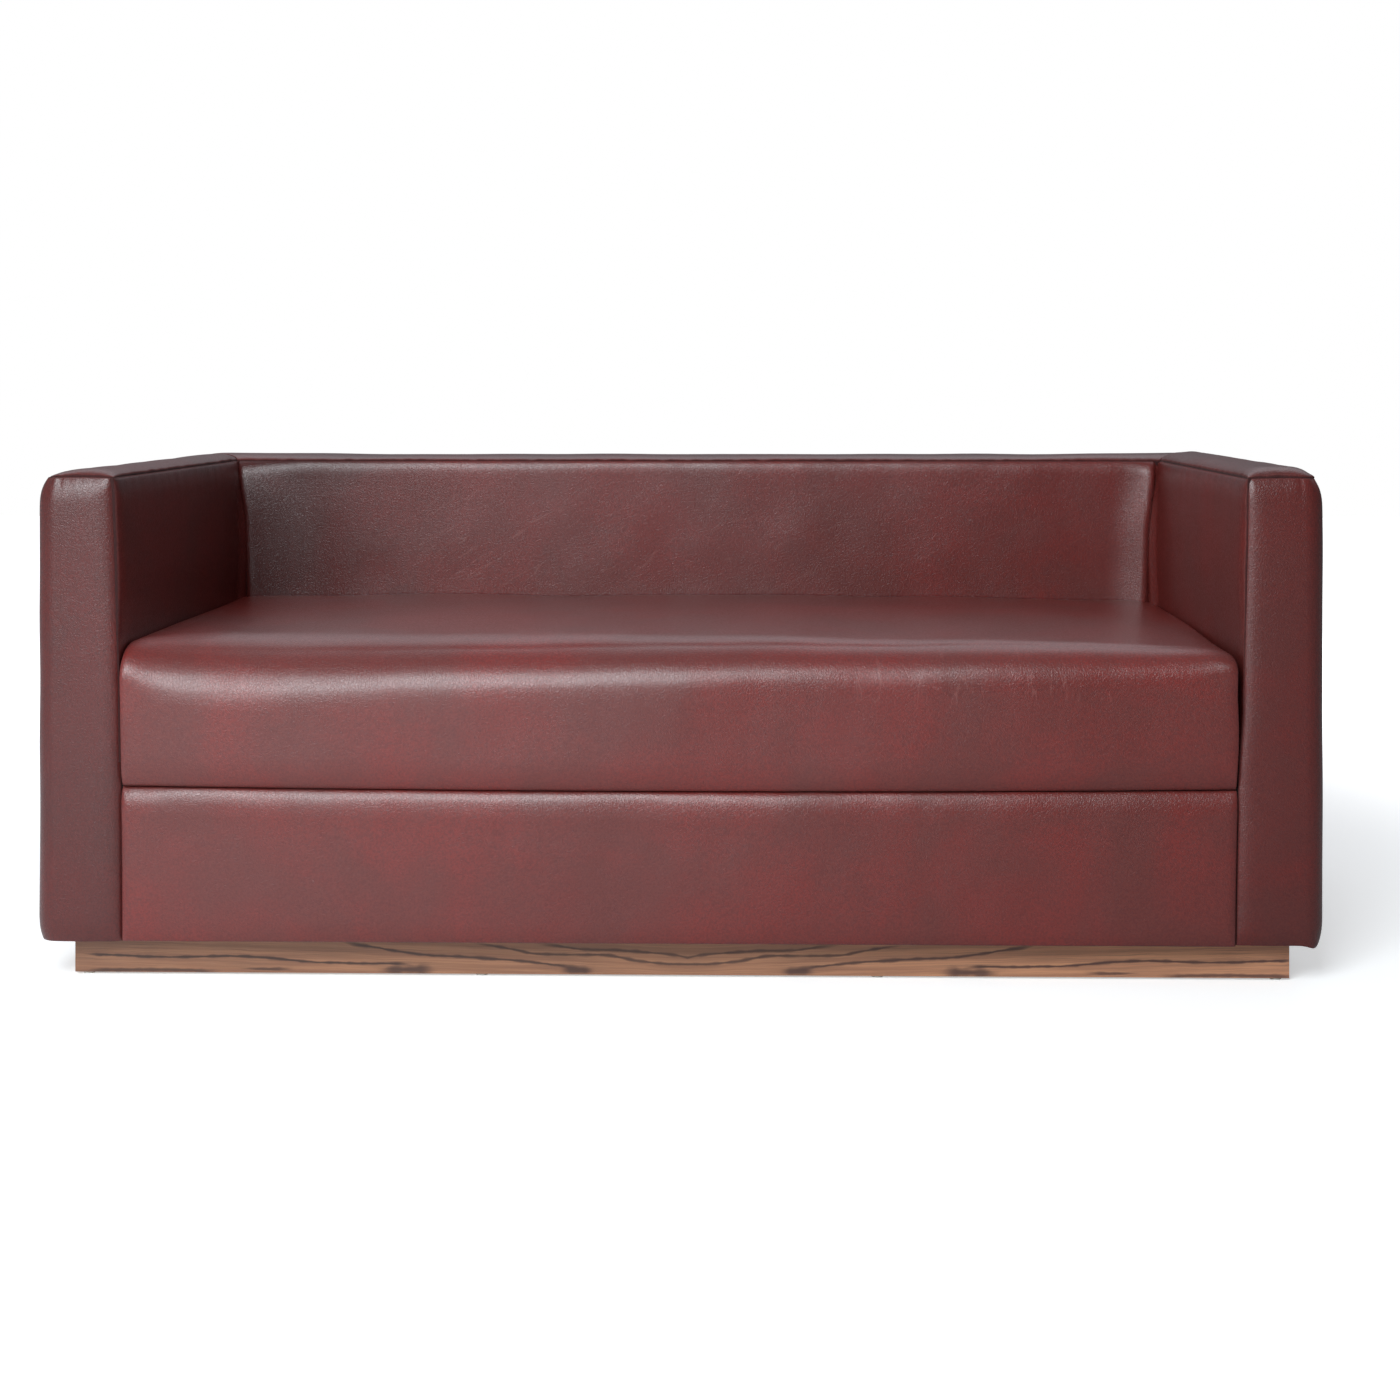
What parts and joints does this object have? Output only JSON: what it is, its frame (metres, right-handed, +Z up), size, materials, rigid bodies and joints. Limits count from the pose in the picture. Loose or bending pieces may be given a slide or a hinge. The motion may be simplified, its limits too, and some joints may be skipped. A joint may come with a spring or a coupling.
{
  "type": "two-seat sofa",
  "caption": "Boxy two-seat sofa in smooth oxblood leather: square arms level with the back, a fixed bench seat, padded front border, recessed veneered plinth.",
  "frame": {"origin": "on the floor, under the middle of the sofa's outline", "axes": "+X along the width to the sofa's right arm in the picture, -Y out of the front, +Z up"},
  "size_m": [1.75, 0.76, 0.702],
  "materials": {
    "leather": "smooth oxblood, semi-gloss, seams and soft creases",
    "wadding": "polyester wadding",
    "foam": "upholstery foam",
    "hardboard": "thin hardboard, unfinished",
    "timber": "sawn hardwood, unfinished",
    "steel": "zinc-plated or oiled steel",
    "felt": "grey felt",
    "base_cloth": "black woven base cloth",
    "plinth_board": "plain board, veneered on its outer faces",
    "veneer": "brown streaked veneer, mirrored at one joint, satin lacquer",
    "glide": "black nylon"
  },
  "bodies": {
    "root": {"left_arm_outer_cover": "leather", "left_arm_inner_cover": "leather", "left_arm_top_band": "leather", "right_arm_outer_cover": "leather", "right_arm_inner_cover": "leather", "right_arm_top_band": "leather", "back_inner_cover": "leather", "back_top_band": "leather", "back_outer_cover": "leather", "seat_cover": "leather", "border_cover": "leather", "left_arm_outer_wadding": "wadding", "left_arm_inner_foam": "foam", "left_arm_top_foam": "foam", "right_arm_outer_wadding": "wadding", "right_arm_inner_foam": "foam", "right_arm_top_foam": "foam", "back_foam": "foam", "back_top_foam": "foam", "back_outer_wadding": "wadding", "seat_foam": "foam", "border_foam": "foam", "left_arm_outer_board": "hardboard", "left_arm_inner_board": "hardboard", "right_arm_outer_board": "hardboard", "right_arm_inner_board": "hardboard", "back_inner_board": "hardboard", "back_outer_board": "hardboard", "left_arm_posts": "timber", "left_arm_rails": "timber", "right_arm_posts": "timber", "right_arm_rails": "timber", "back_rails": "timber", "back_stiles": "timber", "seat_front_rail": "timber", "seat_back_rail": "timber", "seat_side_rails": "timber", "seat_cross_rails": "timber", "seat_corner_blocks": "timber", "floor_rails": "timber", "seat_springs": "steel", "spring_clips": "steel", "spring_tie_wires": "steel", "spring_felt": "felt", "coach_screws": "steel", "coach_washers": "steel", "plinth_screws": "steel", "dust_cover": "base_cloth", "plinth_front_board": "plinth_board", "plinth_back_board": "plinth_board", "plinth_left_board": "plinth_board", "plinth_right_board": "plinth_board", "plinth_bearers": "plinth_board", "plinth_corner_blocks": "plinth_board", "front_veneer_left": "veneer", "front_veneer_right": "veneer", "left_veneer": "veneer", "right_veneer": "veneer", "back_veneer": "veneer", "floor_glides": "glide"}
  },
  "joints": []
}
